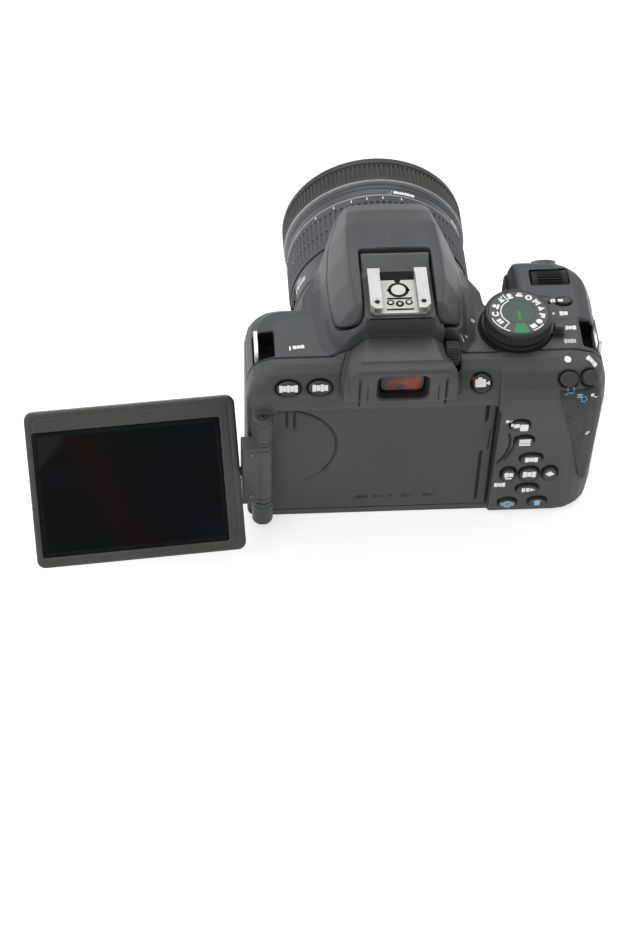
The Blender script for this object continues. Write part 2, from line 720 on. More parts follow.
def oval_path(at, normal, half_width, half_height, n=48, surface=None):
    """An oval path on a surface."""
    m = basis(at, normal)
    out = (m.to_3x3() @ Vector(UP)).normalized()
    path = []
    for k in range(n + 1):
        t = radians(360 * k / n)
        p = m @ (Vector((half_width * cos(t), half_height * sin(t), 0)) * MM)
        path.append(to_mm(dropped(p, -out, surface, 0.006, 0.014)))
    return path


def lay(points, direction, surface, step=1.0):
    """Drop a polyline onto a surface along a direction."""
    d = Vector(direction).normalized()
    out = []
    for a, b in zip(points, points[1:]):
        a, b = Vector(a), Vector(b)
        m = max(1, int((b - a).length / step))
        for k in range(m + (1 if b == Vector(points[-1]) else 0)):
            p = point(*(a + (b - a) * k / m))
            out.append(to_mm(dropped(p, d, surface, 0.008, 0.02)))
    return out


def at_y(y, points):
    return [(x, y, z) for x, z in points]


def rectangle(u0, u1, v0, v1):
    return [(u0, v0), (u0, v1), (u1, v1), (u1, v0), (u0, v0)]


def on_screen(u, v, w=0.0):
    """Screen directions (along, up, out of the glass) from the hinge to the drawing."""
    return tuple(HINGE + SCREEN_ALONG * u + SCREEN_UP * v + SCREEN_OUT * w)


def screw_head(name, at, normal, r, node, material="screw"):
    """A countersunk cross-head screw in a dark seat."""
    m = basis(at, normal, spin=0.35)
    head = [(0, 0.05), (r * 0.55, 0.05), (r * 0.86, 0.03), (r * 0.97, -0.06), (r, -0.2),
            (r, -0.9), (0, -0.9)]
    piece(name, revolve(head, m, 32, closed=False), material, node)
    cross = bar(0, 0, r * 1.25, r * 0.26, 0.02) + bar(0, 0, r * 0.26, r * 1.25, 0.02)
    decal(name + "_cross", m, cross, "dark", node, 0.075, 0.2)
    seat = [(r * 1.02, -0.6), (r * 1.02, 0.02), (r * 1.14, 0.045), (r * 1.3, 0.0),
            (r * 1.3, -0.6)]
    piece(name + "_seat", revolve(seat, m, 32), "dark", node)


# ------------------------------------------------------------------ skins of the covers
SKINS = {}
for skin, voxel, rounds in (
        ("rear_cover", 0.42, 5), ("front_cover", 0.5, 6), ("top_cover", 0.40, 8),
        ("bottom_cover", 0.5, 4), ("flash_unit", 0.40, 18), ("grip_rubber", 0.34, 4),
        ("thumb_rubber", 0.28, 3), ("eyecup", 0.32, 5), ("lcd_frame", 0.38, 3),
        ("lcd_hinge_block", 0.28, 3), ("card_door", 0.3, 2), ("battery_door", 0.32, 2),
        ("terminal_cover", 0.28, 2)):
    SKINS[skin] = soft_copy(skin, voxel, rounds)

for node_name, node_object in NODES.items():
    if node_name not in SKINS and not node_object.hide_render:
        add_bevel(node_object, 0.00015, 32)
        smooth(node_object, 40)

REAR_SURFACE = surface_of(SKINS["rear_cover"])
TOP_SURFACE = surface_of(SKINS["top_cover"])
BODY_SURFACE = surface_of(*(SKINS[n] for n in ("rear_cover", "top_cover", "front_cover",
                                               "bottom_cover")))
BACK_SURFACE = surface_of(*(SKINS[n] for n in ("rear_cover", "top_cover", "thumb_rubber")))

# Key: place, outward normal, half width, half height, how far it stands proud
UPPER_BACK = (0, -0.8, 0.6)
KEYS = {
    "menu_button": ((-40.3, -0.7, 71.3), UPPER_BACK, 4.2, 2.5, 0.9),
    "info_button": ((-28.9, -0.7, 71.3), UPPER_BACK, 4.2, 2.5, 0.9),
    "live_view_button": ((29.4, -0.7, 71.3), UPPER_BACK, 3.3, 3.3, 0.9),
    "av_button": ((44.6, -4.75, 52.6), BACK, 3.4, 2.6, 1.0),
    "quick_button": ((47.3, -4.15, 43.2), BACK, 3.2, 2.5, 1.0),
    "key_up": ((50.9, -3.35, 32.4), BACK, 3.9, 2.5, 1.0),
    "key_left": ((43.2, -3.2, 23.5), BACK, 2.5, 3.4, 1.0),
    "set_button": ((51.0, -3.2, 23.5), BACK, 3.5, 3.5, 0.8),
    "key_right": ((58.8, -3.2, 23.5), BACK, 2.5, 3.4, 1.0),
    "key_down": ((51.1, -3.2, 14.8), BACK, 3.9, 2.5, 1.0),
    "playback_button": ((44.2, -3.2, 7.0), BACK, 3.2, 2.1, 1.0),
    "erase_button": ((55.6, -3.2, 7.2), BACK, 3.2, 2.1, 1.0),
    "ae_lock_button": ((60.9, -1.6, 73.0), (0, -0.7, 0.714), 3.3, 2.7, 0.9),
    "af_point_button": ((68.9, -0.6, 72.4), (0.35, -0.66, 0.66), 3.2, 2.7, 0.9),
    "iso_button": ((55.5, 34.6, 77.0), UP, 2.8, 1.6, 0.9),
    "display_button": ((63.2, 33.9, 77.0), UP, 2.8, 1.6, 0.9),
    "flash_button": ((-45.5, 40.0, 61.0), FORWARD, 3.0, 3.0, 1.0),
    "lens_release": ((-43.8, 40.0, 38.0), FORWARD, 5.2, 5.2, 3.0),
    "shutter_button": ((59.5, 58.93, 72.1), (0, 0.868, 0.496), 4.8, 3.3, 1.3),
}

# Shallow moats round the keys: skin, surface, margin, width, depth
REAR_MOAT = ("rear_cover", REAR_SURFACE, 0.35, 1.4, 0.5)
TOP_MOAT = ("top_cover", TOP_SURFACE, 0.35, 1.3, 0.35)
FRONT_MOAT = ("front_cover", None, 0.45, 1.6, 0.4)
MOATS = {"iso_button": TOP_MOAT, "display_button": TOP_MOAT, "flash_button": FRONT_MOAT,
         "lens_release": FRONT_MOAT, "shutter_button": ("top_cover", TOP_SURFACE, 0.45, 1.5, 0.4)}
for key, (at, normal, half_width, half_height, proud) in KEYS.items():
    skin, surface, margin, width, depth = MOATS.get(key, REAR_MOAT)
    moat = oval_path(at, normal, half_width + margin, half_height + margin, surface=surface)
    carve(skin, [moat], width, depth)


# ------------------------------------------------------------------ grooves in the skins
def disc_arc(degrees):
    """The round line in the left of the recess."""
    return around(-42.0, 38.5, 20.0, degrees)


CURVE = [(41.2, 47.5), (41.9, 43.8), (42.0, 40.0), (41.3, 36.2), (39.9, 32.6), (38.2, 29.6)]
# Grooves in the back: width, depth, y they drop from, lines of (x, z)
for width, depth, y, lines in (
        (1.3, 0.45, -2, [disc_arc(range(-62, 96, 6))]),
        (1.1, 0.55, -2, [[(-40.6, 58.0), (-40.6, 49.5)], [(-37.8, 57.0), (-37.8, 48.4)]]),
        (1.3, 0.8, -2, [[(33.1, 59.0), (33.1, 50.0)], [(32.4, 33.0), (32.4, 6.0)]]),
        (1.2, 0.5, -6, [[(36.6, z) for z in range(3, 61, 3)]]),
        (1.2, 0.4, -9, [CURVE, [(43.6, 45.5), (44.0, 42.5), (43.5, 38.5), (42.4, 35.0),
                                (40.8, 31.4)]]),
        (1.3, 0.45, -2, [[(x0, 9.3), (x1, 9.3)] for x0, x1 in (
            (-13.4, -9.6), (-6.0, -3.6), (-0.8, -0.2), (4.2, 6.6), (12.6, 15.6))])):
    carve("rear_cover", [lay(at_y(y, line), FORWARD, REAR_SURFACE) for line in lines],
          width, depth)
for z in (13.6, 49.6, 58.6):        # round the hinge post
    hinge_ring = around(HINGE.x, HINGE.y, 4.0, range(-200, 21, 10))
    carve("rear_cover", [[(x, y, z) for x, y in hinge_ring]], 1.0, 0.4)

# Lines beside the eyepiece and down the cup
SHOULDER = [(21.6, -3.0, 69.0), (21.0, 0.0, 76.5), (19.0, 3.5, 82.5), (16.6, 7.5, 87.0)]
carve("rear_cover", [lay([(s * x, y, z) for x, y, z in SHOULDER], (0, 0.75, -0.66),
                         REAR_SURFACE) for s in (-1, 1)], 1.5, 0.45)
carve("eyecup", [at_y(-9.3, [(x, 68.0), (x, 83.5)]) for x in (-15.4, 15.6)], 1.5, 0.7)
carve("eyecup", [at_y(-9.3, [(x, 70.0), (x, 80.5)]) for x in (-12.6, 12.8)], 1.0, 0.3)

# Top and flash
carve("top_cover", [lay([(29.5, 12.5, 90), (34.0, 10.8, 90), (40.5, 6.9, 90)], DOWN,
                        TOP_SURFACE)], 1.0, 0.25)
FLASH_SURFACE = surface_of(SKINS["flash_unit"])
carve("flash_unit", [lay([(s * 14.6, 48.0, 110), (s * 13.8, 60.0, 110), (s * 12.6, 71.5, 110)],
                         DOWN, FLASH_SURFACE) for s in (-1, 1)], 1.2, 0.28)


def screen_loop(u0, u1, v0, v1, w, radius):
    corners = rounded_box(u0, u1, v0, v1, radius, 3)
    return [on_screen(u, v, w) for u, v in corners + corners[:1]]


# Screen shell: a step round the window, a panel on its back, finger notches at its far end
carve("lcd_frame", [screen_loop(11.2, 83.3, -26.6, 26.6, 3.5, 2.4)], 1.0, 0.22)
carve("lcd_frame", [screen_loop(14.0, 80.5, -23.5, 23.5, -3.5, 5.0)], 1.4, 0.45)
carve("lcd_frame", [[on_screen(20.0, -16.0, -3.5), on_screen(74.5, -16.0, -3.5)]], 1.2, 0.35)
carve("lcd_frame", [[on_screen(85.9, 2.5 * k, -2), on_screen(85.9, 2.5 * k, 2)]
                    for k in range(-3, 4)], 1.3, 0.5)
hinge_ring = around(HINGE.x, HINGE.y, 3.75, range(0, 361, 10))
carve("lcd_hinge_block", [[(x, y, z) for x, y in hinge_ring] for z in (18.2, 45.2)], 1.0, 0.4)
carve("lcd_hinge_block", [[tuple(HINGE + SCREEN_ALONG * 7.9 + HINGE_OUT * w + Vector((0, 0, z)))
                           for z in (-14, 14)] for w in (-1.6, 1.6)], 1.0, 0.4)

# Front, base and sides
FRONT_SURFACE = surface_of(SKINS["front_cover"])
carve("front_cover", [oval_path((0, 60.0, LENS_HEIGHT), FORWARD, 34.4, 34.4, n=120)], 0.9, 0.3)
carve("front_cover", [lay(at_y(45, [(-52.0, 52.5), (-38.5, 52.5), (-36.5, 55.0),
                                    (-36.5, 64.5)]), BACK, FRONT_SURFACE)], 1.1, 0.35)
carve("bottom_cover", [[(x, y, 0) for x, y in rectangle(-48, 44, 2, 34)]], 1.3, 0.4)
carve("battery_door", [[(x, y, 0) for x, y in rectangle(54.0, 67.6, 14.0, 44.6)]], 1.0, 0.35)
carve("battery_door", [[(56.0, y, 0), (60.5, y, 0)] for y in (36.0, 38.0, 40.0, 42.0)],
      0.9, 0.4)
carve("card_door", [[(76.8, y, 29.0), (76.8, y, 55.0)] for y in (7.0, 9.2, 11.4, 13.6)],
      1.1, 0.4)
carve("terminal_cover", [[(-55.1, y, z) for y, z in rectangle(15.0, 27.5, 19.0, 39.5)]],
      0.9, 0.3)
carve("terminal_cover", [[(-55.1, 18.0, z), (-55.1, 24.5, z)] for z in (23.0, 25.0, 27.0)],
      0.8, 0.3)


def retone(skin, material, inside):
    """Give the faces whose centre and normal pass a test another material."""
    mesh = SKINS[skin].data
    mesh.materials.append(MATERIALS[material])
    slot = len(mesh.materials) - 1
    for face in mesh.polygons:
        c = face.center / MM
        if inside(c.x, c.y + Y_OFFSET, c.z, face.normal):
            face.material_index = slot


# The recess floor and the eyepiece housing are finer moulded than the rest of the back.
retone("rear_cover", "recess",
       lambda x, y, z, n: -45.3 < x < 36.9 and z < 60.8 and -3.2 < y < 0.75)
retone("rear_cover", "finder_shell", lambda x, y, z, n: abs(x) < 20.8 and z > 62.0 and y < 9.8)
retone("top_cover", "shoe_base",
       lambda x, y, z, n: abs(x) < 12.7 and y < 41 and z > 82
       and (z > 94.0 or (y < 10.9 and abs(x) < 12.4)))
retone("top_cover", "shoe_ramp",
       lambda x, y, z, n: abs(x) < 12.7 and 31.6 < y < 41 and z > 94.2 and n.z > 0.3)
retone("top_cover", "dark",     # behind the strap lugs
       lambda x, y, z, n: 67.2 < z < 75.4 and ((-52.5 < x < -44.3 and 10.1 < y < 24.0)
                                               or (67.3 < x < 75.2 and 11.3 < y < 25.2)))
retone("rear_cover", "dark_soft",   # right wall of the recess
       lambda x, y, z, n: 30 < x < 36.9 and z < 60.9 and -3.4 < y < -0.4 and abs(n.x) > 0.8)

# ------------------------------------------------------------------ keys
MARKS = {
    "menu_button": blocks(0, 0, 6.6, 2.5, 5, 0.10),
    "info_button": blocks(0, 0, 5.6, 2.5, 4, 0.10),
    "live_view_button": (bar(-0.5, 0.1, 3.9, 2.9, 0.4) + bar(-0.6, 1.9, 1.5, 0.6, 0.1)
                         + tri(2.2, 0.1, 1.0, 180)),
    "av_button": (bar(1.5, -0.5, 3.0, 3.4, 0.5) + bar(-1.3, 0.5, 2.2, 2.0, 0.3)
                  + bar(-3.0, 1.1, 0.9, 1.3, 0.2)),
    "quick_button": (bar(0, 1.35, 4.2, 0.95, 0.1) + bar(0, 0.1, 4.2, 0.95, 0.1)
                     + bar(0, -1.15, 4.2, 0.95, 0.1)),
    "key_up": blocks(0.0, 0.15, 4.8, 2.6, 3, 0.12),
    "key_left": blocks(0.0, 0.5, 3.3, 2.6, 2, 0.14) + bar(0, -1.5, 2.4, 0.7, 0.1),
    "set_button": blocks(0, 0.25, 4.9, 3.1, 3, 0.14),
    "key_right": turn(bar(0, 0, 2.2, 2.2, 0.3), 45, 0.0, 0.4) + bar(0, 0.4, 3.0, 1.2, 0.3),
    "key_down": (bar(-1.5, 0.2, 1.3, 2.2, 0.2) + bar(0.1, 0.2, 1.3, 2.2, 0.2)
                 + tri(1.8, 0.2, 1.2)),
    "playback_button": (arc(1.05, 1.75, 0, 360) + tri(0.08, 0, 0.9)
                        + bar(-2.4, 0, 0.9, 1.9, 0.1) + bar(2.4, 0, 0.9, 1.9, 0.1)),
    "erase_button": (bar(0, -0.3, 2.1, 2.1, 0.15) + bar(0, 1.1, 2.9, 0.5, 0.1)
                     + bar(0, 1.55, 1.1, 0.35, 0.1)),
    "flash_button": tri(0, 0.3, 1.2, 90) + bar(0, -1.2, 1.6, 0.4, 0.1),
    "display_button": bar(-1.2, -0.1, 1.9, 1.3, 0.1),
}
RELEASE_PROFILE = [     # share of the half width, height
    (1.0, -2.2), (1.0, 2.3), (0.99, 2.6), (0.96, 2.82), (0.9, 2.95), (0.82, 3.0), (0.74, 2.94),
    (0.66, 2.78), (0.4, 2.62), (0.15, 2.56), (0.0, 2.55)]


def cap_profile(proud, dish):
    """A cap with a rounded rim and a dished top: share of the half width, height."""
    return [(1.0, -1.6), (1.0, proud - 0.42), (0.988, proud - 0.24), (0.955, proud - 0.1),
            (0.9, proud - 0.02), (0.84, proud), (0.76, proud - 0.02),
            (0.6, proud - dish * 0.45), (0.4, proud - dish * 0.8), (0.2, proud - dish),
            (0.0, proud - dish)]


for key, (at, normal, half_width, half_height, proud) in KEYS.items():
    shutter = key == "shutter_button"
    profile = cap_profile(proud, 0.3 if shutter else 0.16)
    if key == "lens_release":
        profile = RELEASE_PROFILE
    m = basis(at, normal)
    bm = revolve(profile, m @ Matrix.Diagonal((half_width, half_height, 1.0, 1.0)), 56,
                 closed=False)
    bmesh.ops.contextual_create(bm, geom=[e for e in bm.edges if e.is_boundary])
    cap = piece(key + "_cap", bm, "silver_key" if shutter else "key", key, 40, replaces=True)
    if key in MARKS:
        blue = key in ("playback_button", "erase_button")
        decal(key + "_mark", m @ Matrix.Translation((0, 0, proud * MM)), MARKS[key],
              "pale_blue" if blue else "white", key, 0.10, 0.16, surface_of(cap))


# ------------------------------------------------------------------ lines on the covers
def strip(name, points, width, material="dark_soft", node="rear_cover", surface=BACK_SURFACE):
    """A narrow inlay, tapered at both ends, that follows a line across the back."""
    lift, deep = 0.03, 0.25
    path = lay(points, FORWARD, surface, 0.8)
    d = Vector(FORWARD)
    last = len(path) - 1
    rows = []
    for i, p in enumerate(path):
        a, b = Vector(path[max(0, i - 1)]), Vector(path[min(last, i + 1)])
        half = width / 2 * (0.35 if i in (0, last) else 1.0)
        side = (b - a).cross(d).normalized() * half
        c = Vector(p)
        rows.append([point(*(c + side - d * lift)), point(*(c - side - d * lift)),
                     point(*(c - side + d * deep)), point(*(c + side + d * deep))])
    piece(name, loft(rows, caps=True), material, node, 30, weld=False)


# Name, width, material, y it drops from, points of (x, z)
for name, width, material, y, points in (
        ("recess_wall", 0.8, "dark", -1, [(36.3, 58.8), (36.3, 4.0)]),
        ("recess_slot", 1.0, "dark", -1, [(33.1, 58.8), (33.1, 50.6)]),
        ("recess_slot_b", 0.55, "dark_soft", -1, [(32.4, 33.0), (32.4, 6.0)]),
        ("recess_slot_c", 0.5, "dark_soft", -1, [(35.0, 45.5), (34.6, 34.0)]),
        ("curve_a", 0.6, "dark_soft", -9, CURVE),
        ("curve_b", 0.45, "dark_soft", -9, [(43.3, 46.0), (43.9, 42.5), (43.3, 38.5),
                                            (42.2, 35.0), (40.6, 31.8)]),
        ("left_slot_a", 0.45, "dark_soft", -1, [(-40.6, 57.6), (-40.6, 50.2)]),
        ("left_slot_b", 0.45, "dark_soft", -1, [(-37.8, 57.0), (-37.8, 49.0)]),
        ("disc", 0.5, "recess_ink", -2, disc_arc(range(-40, 90, 5)))):
    strip("line_" + name, at_y(y, points), width, material)

# Marks in the lower recess: an outlined box, then solid bars
for i, (x, shapes) in enumerate((
        (-11.4, bar(-1.9, 0, 0.5, 1.9, 0.1) + bar(1.9, 0, 0.5, 1.9, 0.1)
         + bar(0, 0.75, 3.6, 0.4, 0.1) + bar(0, -0.75, 3.6, 0.4, 0.1)),
        (-6.6, bar(0, 0, 1.6, 1.9, 0.3)), (-1.2, bar(0, 0, 0.8, 1.9, 0.3)),
        (4.6, bar(0, 0, 2.4, 1.9, 0.3)), (13.0, bar(0, 0, 2.8, 1.9, 0.3)))):
    decal(f"recess_mark_{i}", basis((x, 0, 9.3), BACK), shapes, "recess_ink", "rear_cover",
          0.03, 0.25, REAR_SURFACE)

CUP_SURFACE = surface_of(SKINS["eyecup"])
for i, (x, z0, z1, width) in enumerate((
        (-15.4, 68.5, 82.0, 0.8), (15.6, 68.5, 82.0, 1.0),
        (-12.6, 71.0, 79.5, 0.4), (12.8, 71.0, 79.5, 0.4))):
    strip(f"line_cup_{i}", [(x, -8, z1), (x, -8, z0)], width, node="eyecup",
          surface=CUP_SURFACE)

# ------------------------------------------------------------------ labels on the covers
ON_BACK = (BACK, BACK_SURFACE, "rear_cover")
ON_SLOPE = ((0, -0.75, 0.66), BACK_SURFACE, "rear_cover")
ON_TOP = (UP, BODY_SURFACE, "top_cover")


def label(name, face, at, shapes, material="white", lift=0.05):
    normal, surface, node = face
    decal(name, basis(at, normal), shapes, material, node, lift, 0.25, surface)


label("label_grid", ON_BACK, (40.4, -3.2, 17.4), blocks(0, 0, 4.2, 2.3, 3, 0.14))
label("label_up_av", ON_BACK, (40.5, -4.6, 54.9), blocks(0, 0, 2.6, 1.5, 2, 0.14))
label("label_zoom_ring", ON_SLOPE, (61.6, -3.4, 69.3),
      arc(0.95, 1.45, 0, 360) + bar(-1.55, -1.45, 1.6, 0.5, 0.1, radians(45)), "blue")
label("label_zoom_dots", ON_SLOPE, (64.9, -3.9, 66.6),
      bar(0, 0.45, 1.9, 0.55, 0.1) + bar(0, -0.45, 1.9, 0.55, 0.1), "pale_blue")
label("label_zoom_ring2", ON_SLOPE, (66.6, -3.9, 64.9), arc(0.8, 1.25, 0, 360), "blue")
label("label_star_right", ON_SLOPE, (69.8, -3.5, 66.4),
      bar(0, 0, 1.3, 1.1, 0.2) + bar(1.3, -0.8, 1.4, 0.4, 0.1))
label("lamp_label", ON_BACK, (70.4, -4.7, 46.2), dot(0, 0, 0.95), "soft_white")
label("label_live_dot", ON_SLOPE, (26.2, -1.5, 74.6), dot(0, 0, 0.6), "red")
label("label_star", ON_TOP, (60.9, 5.0, 75.5), dot(0, 0, 1.3), lift=0.2)
label("label_point", ON_TOP, (69.9, 5.6, 73.5),
      blocks(0, 0, 4.0, 2.1, 3, 0.12, angle=radians(-34)), lift=0.16)
label("label_iso", ON_TOP, (59.3, 34.4, 77.5), blocks(0, 0, 2.0, 1.9, 2, 0.12))
label("label_index", ON_TOP, (58.2, 27.6, 77.5), bar(0, 0, 1.8, 0.9, 0.1))
label("label_lever_a", ON_TOP, (62.4, 27.6, 77.5), blocks(0, 0, 3.0, 2.2, 2, 0.14))
label("label_lever_b", ON_TOP, (63.9, 20.4, 77.5), blocks(0, 0, 4.3, 2.0, 3, 0.12))
label("label_lever_c", ON_TOP, (62.9, 13.6, 77.5), blocks(0, 0, 4.3, 2.2, 4, 0.12),
      "soft_white")
label("label_dot_hump", ON_TOP, (28.6, 25.0, 77.5), dot(0, 0, 0.85), "soft_white")
label("label_left", ON_TOP, (-36.6, 14.6, 77.5),
      blocks(0.7, 0.2, 4.2, 1.7, 3, 0.12, angle=radians(6)) + bar(-2.4, -0.4, 0.6, 2.0, 0.1))
label("label_dioptre", ON_TOP, (22.6, 14.2, 82.0),
      bar(0, 0, 3.4, 0.9, 0.1, radians(-42)) + bar(2.4, 1.2, 1.1, 0.5, 0.1), "soft_white")

# ------------------------------------------------------------------ lens
# Lens profiles are (radius, y[, rib depth]) round the lens axis.
LENS_AXIS = basis((0, 0, LENS_HEIGHT), FORWARD)
SWITCH_X = -33.3        # flat panel the two switches slide on
BARREL_PROFILE = [
    (32.9, 116.2), (32.9, 104.1), (33.2, 103.9), (34.5, 103.7), (34.82, 103.4), (34.9, 103.0),
    (34.9, 101.3), (34.62, 101.15), (34.62, 100.55), (34.9, 100.4), (34.9, 98.2), (34.8, 98.1),
    (34.8, 97.6), (34.9, 97.5), (34.9, 96.9), (34.8, 96.5), (34.5, 96.2), (32.4, 96.2),
    (32.4, 75.5), (34.5, 75.5), (34.75, 75.3), (34.8, 74.95), (34.76, 74.0), (34.75, 73.93),
    (34.74, 73.88), (34.7, 72.8), (34.62, 71.2), (34.5, 69.4), (34.38, 67.4), (34.37, 67.33),
    (34.36, 67.28), (34.3, 66.5), (33.95, 66.3), (33.9, 65.9), (33.2, 63.6), (32.7, 62.4),
    (32.4, 61.8), (26.0, 61.8), (26.0, 64.0), (30.4, 66.0), (30.4, 116.2)]
bm = revolve(BARREL_PROFILE, LENS_AXIS, 216)
for v in bm.verts:
    if 67.31 < v.co.y / MM + Y_OFFSET < 73.91 and v.co.x / MM < SWITCH_X:
        v.co.x = SWITCH_X * MM
barrel = piece("lens_barrel_shell", bm, "lens", "lens_barrel", 30, replaces=True)
BARREL_SURFACE = surface_of(barrel)

ZOOM_PROFILE = [
    (35.0, 95.7), (35.28, 95.55), (35.42, 95.2), (35.45, 94.5), (35.45, 94.2), (35.3, 94.05),
    (35.3, 93.6), (35.55, 93.4), (35.6, 93.1, 0.05), (35.6, 92.8, 0.72), (35.6, 85.9, 0.72),
    (35.6, 85.6, 0.1), (35.5, 85.4), (35.5, 84.9), (35.6, 84.7, 0.1), (35.6, 84.4, 0.72),
    (35.6, 78.6, 0.72), (35.6, 78.3, 0.05), (35.5, 78.0), (35.3, 77.8), (35.3, 77.3),
    (35.42, 77.1), (35.4, 76.4), (35.25, 76.05), (35.0, 75.9), (32.7, 75.9), (32.7, 95.7)]
piece("zoom_ring_grip", revolve(ZOOM_PROFILE, LENS_AXIS, ribs=92), "ring", "zoom_ring", 28,
      replaces=True)
FOCUS_PROFILE = [
    (35.6, 117.6), (36.0, 117.5), (36.25, 117.2), (36.36, 116.8), (36.4, 116.2), (36.4, 114.6),
    (36.2, 114.4), (35.9, 114.3), (35.9, 113.7), (36.2, 113.6), (36.4, 113.4, 0.05),
    (36.4, 113.1, 0.62), (36.4, 106.5, 0.62), (36.4, 106.2, 0.05), (36.3, 105.9),
    (36.2, 105.2), (36.0, 104.6), (35.8, 104.2), (33.2, 104.2), (33.2, 116.5), (30.9, 116.5),
    (30.9, 117.6)]
piece("focus_ring_grip", revolve(FOCUS_PROFILE, LENS_AXIS, ribs=120), "ring_front",
      "focus_ring", 28, replaces=True)

# Front barrel: outer tube, stepped light baffle, then fine grooves at the mouth
profile = [(30.1, 117.2), (30.1, 84.0), (28.2, 84.0), (28.2, 105.5), (19.5, 105.5),
           (19.5, 108.6), (21.0, 109.4)]
for k in range(9):
    r0, h0 = 21.0 + 7.4 * k / 9, 109.4 + 5.2 * k / 9
    r1, h1 = 21.0 + 7.4 * (k + 1) / 9, 109.4 + 5.2 * (k + 1) / 9
    profile += [(r0 + 0.12, h0 + 0.1), (r0 + 0.16, h1 - 0.06), (r1 - 0.1, h1)]
profile += [(28.45, 114.7)]
profile += [(28.6 + 0.22 * (k % 2), 114.9 + 0.28 * k) for k in range(8)] + [(28.9, 117.2)]
front_barrel = piece("front_barrel_shell", revolve(profile, LENS_AXIS, 160), "lens_smooth",
                     "front_barrel", 30, replaces=True)

GLASS_RADIUS, GLASS_EDGE, GLASS_RISE = 19.2, 108.2, 3.52
profile = [(0.0, 111.72)]
for k in range(1, 15):
    share = sin(radians(90) * k / 14)
    profile.append((GLASS_RADIUS * share, GLASS_EDGE + GLASS_RISE * (1 - share ** 2)))
profile += [(GLASS_RADIUS, 106.4), (13.0, 105.2), (6.0, 104.6), (0.0, 104.6)]
piece("front_glass_element", revolve(profile, LENS_AXIS, 128, closed=False), "glass",
      "front_glass", 40, replaces=True)

ticks = []
for degrees in range(0, 360, 15):
    ticks += turn(bar(0, 24.6, 0.35, 1.0 if degrees % 45 else 1.7, 0.05), degrees)
decal("front_ring_ticks", basis((0, 113.0, LENS_HEIGHT), FORWARD), ticks, "soft_white",
      "front_barrel", 0.06, 0.5, surface_of(front_barrel))


def on_ring(name, y, r, marks, material="white", node="lens_barrel", surface=BARREL_SURFACE,
            lift=0.05):
    """Marks round a ring: (degrees clockwise from the top seen from behind, shapes)."""
    for i, (degrees, shapes) in enumerate(marks):
        t = radians(90 - degrees)
        at = basis((r * cos(t), y, LENS_HEIGHT + r * sin(t)), (cos(t), 0, sin(t)), up=FORWARD)
        decal(f"{name}_{i}", at, shapes, material, node, lift, 0.25, surface)


on_ring("zoom_scale", 94.85, 35.45,
        [(d, bar(0, 0, 0.4, 1.3, 0.05)) for d in (-44, -30, -18, -8, 2, 14)],
        node="zoom_ring", surface=None, lift=0.04)
on_ring("zoom_index", 74.2, 34.8, [(0, bar(0, 0, 0.6, 1.6, 0.1))])
on_ring("lens_index", 64.9, 33.8, [(0, bar(0, 0, 1.3, 1.3, 0.2))])
on_ring("barrel_words", 99.3, 34.9,
        [(16, blocks(0.4, -0.4, 8.6, 1.5, 4, 0.2) + bar(-5.4, 0.0, 1.6, 2.6, 0.1)),
         (62, blocks(0, 0, 5.0, 1.2, 3))])
on_ring("side_words", 70.6, 34.6,
        [(-66, blocks(0, 0, 7.0, 2.0, 3, 0.25) + bar(-1.0, 2.2, 3.4, 0.9, 0.1)),
         (-104, blocks(0, 0, 3.0, 1.0, 2))], "soft_white")
piece("lens_accent_ring",
      revolve([(32.0, 97.3), (34.84, 97.3), (35.1, 97.1), (35.1, 96.7), (34.85, 96.5),
               (32.0, 96.5)], LENS_AXIS, 200), "accent", "lens_barrel", 30)
piece("focus_ring_edge",
      revolve([(33.4, 104.75), (36.05, 104.75), (36.3, 104.55), (36.3, 104.3), (35.9, 104.02),
               (33.4, 104.02)], LENS_AXIS, 200), "ring_edge", "focus_ring", 30)


def switch(name, z):
    """A sliding switch with four ridges, its dark slot and a word above it."""
    def at(height):
        return basis((SWITCH_X, 70.6, height), LEFT)

    lo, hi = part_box(name)
    half_width, half_height = (hi.y - lo.y) / 2 / MM, (hi.z - lo.z) / 2 / MM
    section = [(-half_width, 0.0), (-half_width, 1.05), (-half_width + 0.3, 1.35)]
    for k in range(4):
        c = -1.2 + 0.8 * k
        section += [(c - 0.3, 1.35), (c - 0.18, 1.68), (c + 0.18, 1.68), (c + 0.3, 1.35)]
    section += [(half_width - 0.3, 1.35), (half_width, 1.05), (half_width, 0.0)]
    rows = [[at(z) @ (Vector((u, s * (half_height - (0.15 if w > 1.2 else 0.0)), w)) * MM)
             for u, w in section] for s in (-1, 1)]
    piece(name + "_knob", loft(rows, caps=True, flip_last=True), "key", name, 30,
          replaces=True, bevel=0.08)
    decal(name + "_slot", at(z - 1.25), bar(0, 0, 5.2, 7.6, 0.5), "dark", "lens_barrel",
          0.03, 0.3)
    decal(name + "_words", at(z + 4.6), blocks(0, 0, 3.4, 0.8, 3), "white", "lens_barrel",
          0.04, 0.3)


switch("af_switch", 45.5)
switch("stabiliser_switch", 34.5)

piece("lens_mount_ring_turned",
      revolve([(32.2, 61.5), (32.2, 60.25), (32.05, 60.1), (26.9, 60.1), (26.6, 60.3),
               (26.6, 61.5)], LENS_AXIS, 160), "chrome", "lens_mount_ring", 30, replaces=True)
piece("mount_inner_ring",
      revolve([(28.2, 60.0), (28.2, 52.0), (28.9, 52.0), (28.9, 59.9), (29.2, 60.0)],
              LENS_AXIS, 120), "dark", "front_cover", 30)

# ------------------------------------------------------------------ mode dial
def dial_frame(z, spin=0.0):
    return basis((44.3, 21.4, z), UP, spin=spin)


